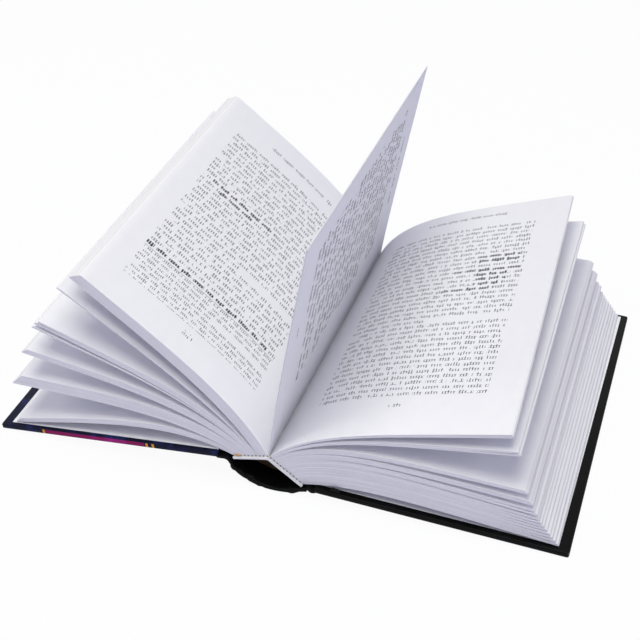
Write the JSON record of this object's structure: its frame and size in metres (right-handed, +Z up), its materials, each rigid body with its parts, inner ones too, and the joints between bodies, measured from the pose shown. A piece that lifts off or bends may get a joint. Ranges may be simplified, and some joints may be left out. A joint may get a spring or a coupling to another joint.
{
  "type": "hardcover book",
  "caption": "Case-bound hardcover book lying open on its back, leaves fanned out and one pair standing up; both covers turn on their joints.",
  "frame": {"origin": "on the table, under the middle of the open book's box", "axes": "+X across the open book from the front cover to the back cover, +Y along the spine from tail to head, +Z up"},
  "size_m": [0.3614, 0.235, 0.1746],
  "materials": {
    "book_paper": "uncoated book paper",
    "dried_glue": "dried binding glue",
    "endpaper": "heavier uncoated endpaper",
    "mull_cloth": "open-weave mull stiff with glue",
    "kraft_paper": "brown kraft paper",
    "cotton_band": "woven cotton with a rolled bead",
    "grey_board": "dense grey binder's board",
    "navy_wrap": "printed paper under a satin laminate",
    "black_wrap": "printed paper under a satin laminate"
  },
  "bodies": {
    "block": {"front_leaves_1": "book_paper", "front_leaves_2": "book_paper", "front_leaves_3": "book_paper", "front_leaves_4": "book_paper", "front_leaves_5": "book_paper", "front_leaves_6": "book_paper", "front_leaves_7": "book_paper", "standing_leaves": "book_paper", "back_leaves_1": "book_paper", "back_leaves_2": "book_paper", "back_leaves_3": "book_paper", "back_leaves_4": "book_paper", "back_leaves_5": "book_paper", "back_leaves_6": "book_paper", "glued_folds": "dried_glue", "spine_mull": "mull_cloth", "spine_lining": "kraft_paper", "tailband": "cotton_band", "headband": "cotton_band", "spine_inlay": "grey_board", "spine_wrap": "black_wrap"},
    "front_cover": {"front_board": "grey_board", "front_wrap": "navy_wrap", "front_pastedown": "endpaper"},
    "back_cover": {"back_board": "grey_board", "back_wrap": "black_wrap", "back_pastedown": "endpaper"}
  },
  "joints": [
    {"name": "front_cover_hinge", "type": "hinge", "parent": "block", "child": "front_cover", "pos_m": [-0.02528, 0, 0.01772], "axis": [0, -1, 0], "range_deg": [0, 90]},
    {"name": "back_cover_hinge", "type": "hinge", "parent": "block", "child": "back_cover", "pos_m": [0.02466, 0, 0.00583], "axis": [0, 1, 0], "range_deg": [0, 90]}
  ]
}
